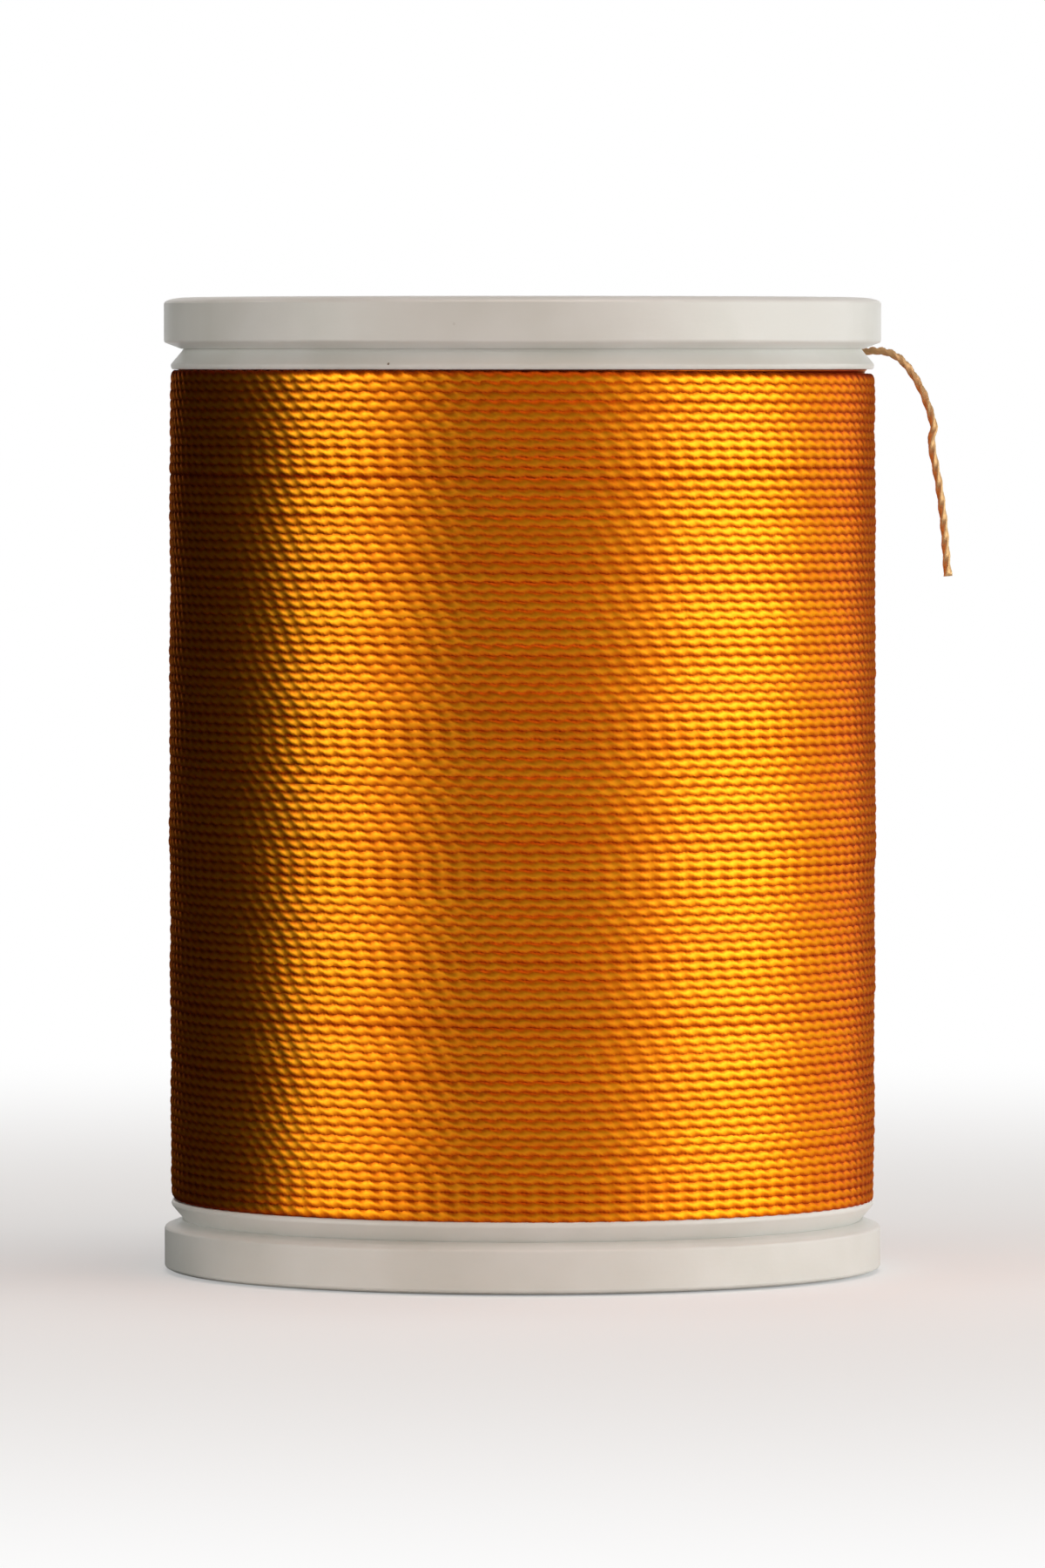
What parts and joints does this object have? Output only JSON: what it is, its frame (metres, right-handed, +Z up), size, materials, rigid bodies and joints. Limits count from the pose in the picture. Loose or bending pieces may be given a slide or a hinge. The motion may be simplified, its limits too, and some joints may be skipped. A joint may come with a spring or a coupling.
{
  "type": "thread spool",
  "caption": "Two-flanged plastic spool wound full of gold waxed thread, with a snap-open end cap and thread groove at each end and a short free thread end.",
  "frame": {"origin": "middle of the base, on the spindle axis, at the face that the spool stands on", "axes": "+Z up along the spindle axis; the free thread end hangs on the +X side; -Y is the front"},
  "size_m": [0.0461, 0.042, 0.057],
  "materials": {
    "barrel_plastic": "satin",
    "cap_plastic": "satin",
    "label_paper": "matte",
    "thread": "satin"
  },
  "bodies": {
    "spool": {"barrel": "barrel_plastic", "thread_body": "thread", "thread_turns": "thread", "thread_tail": "thread"},
    "upper_cap": {"upper_cap": "cap_plastic", "upper_label": "label_paper"},
    "lower_cap": {"lower_cap": "cap_plastic"}
  },
  "joints": [
    {"name": "upper_cap_slide", "type": "slide", "parent": "spool", "child": "upper_cap", "axis": [0, 0, 1], "range_m": [0, 0.002]},
    {"name": "lower_cap_slide", "type": "slide", "parent": "spool", "child": "lower_cap", "axis": [0, 0, -1], "range_m": [0, 0.002]}
  ]
}
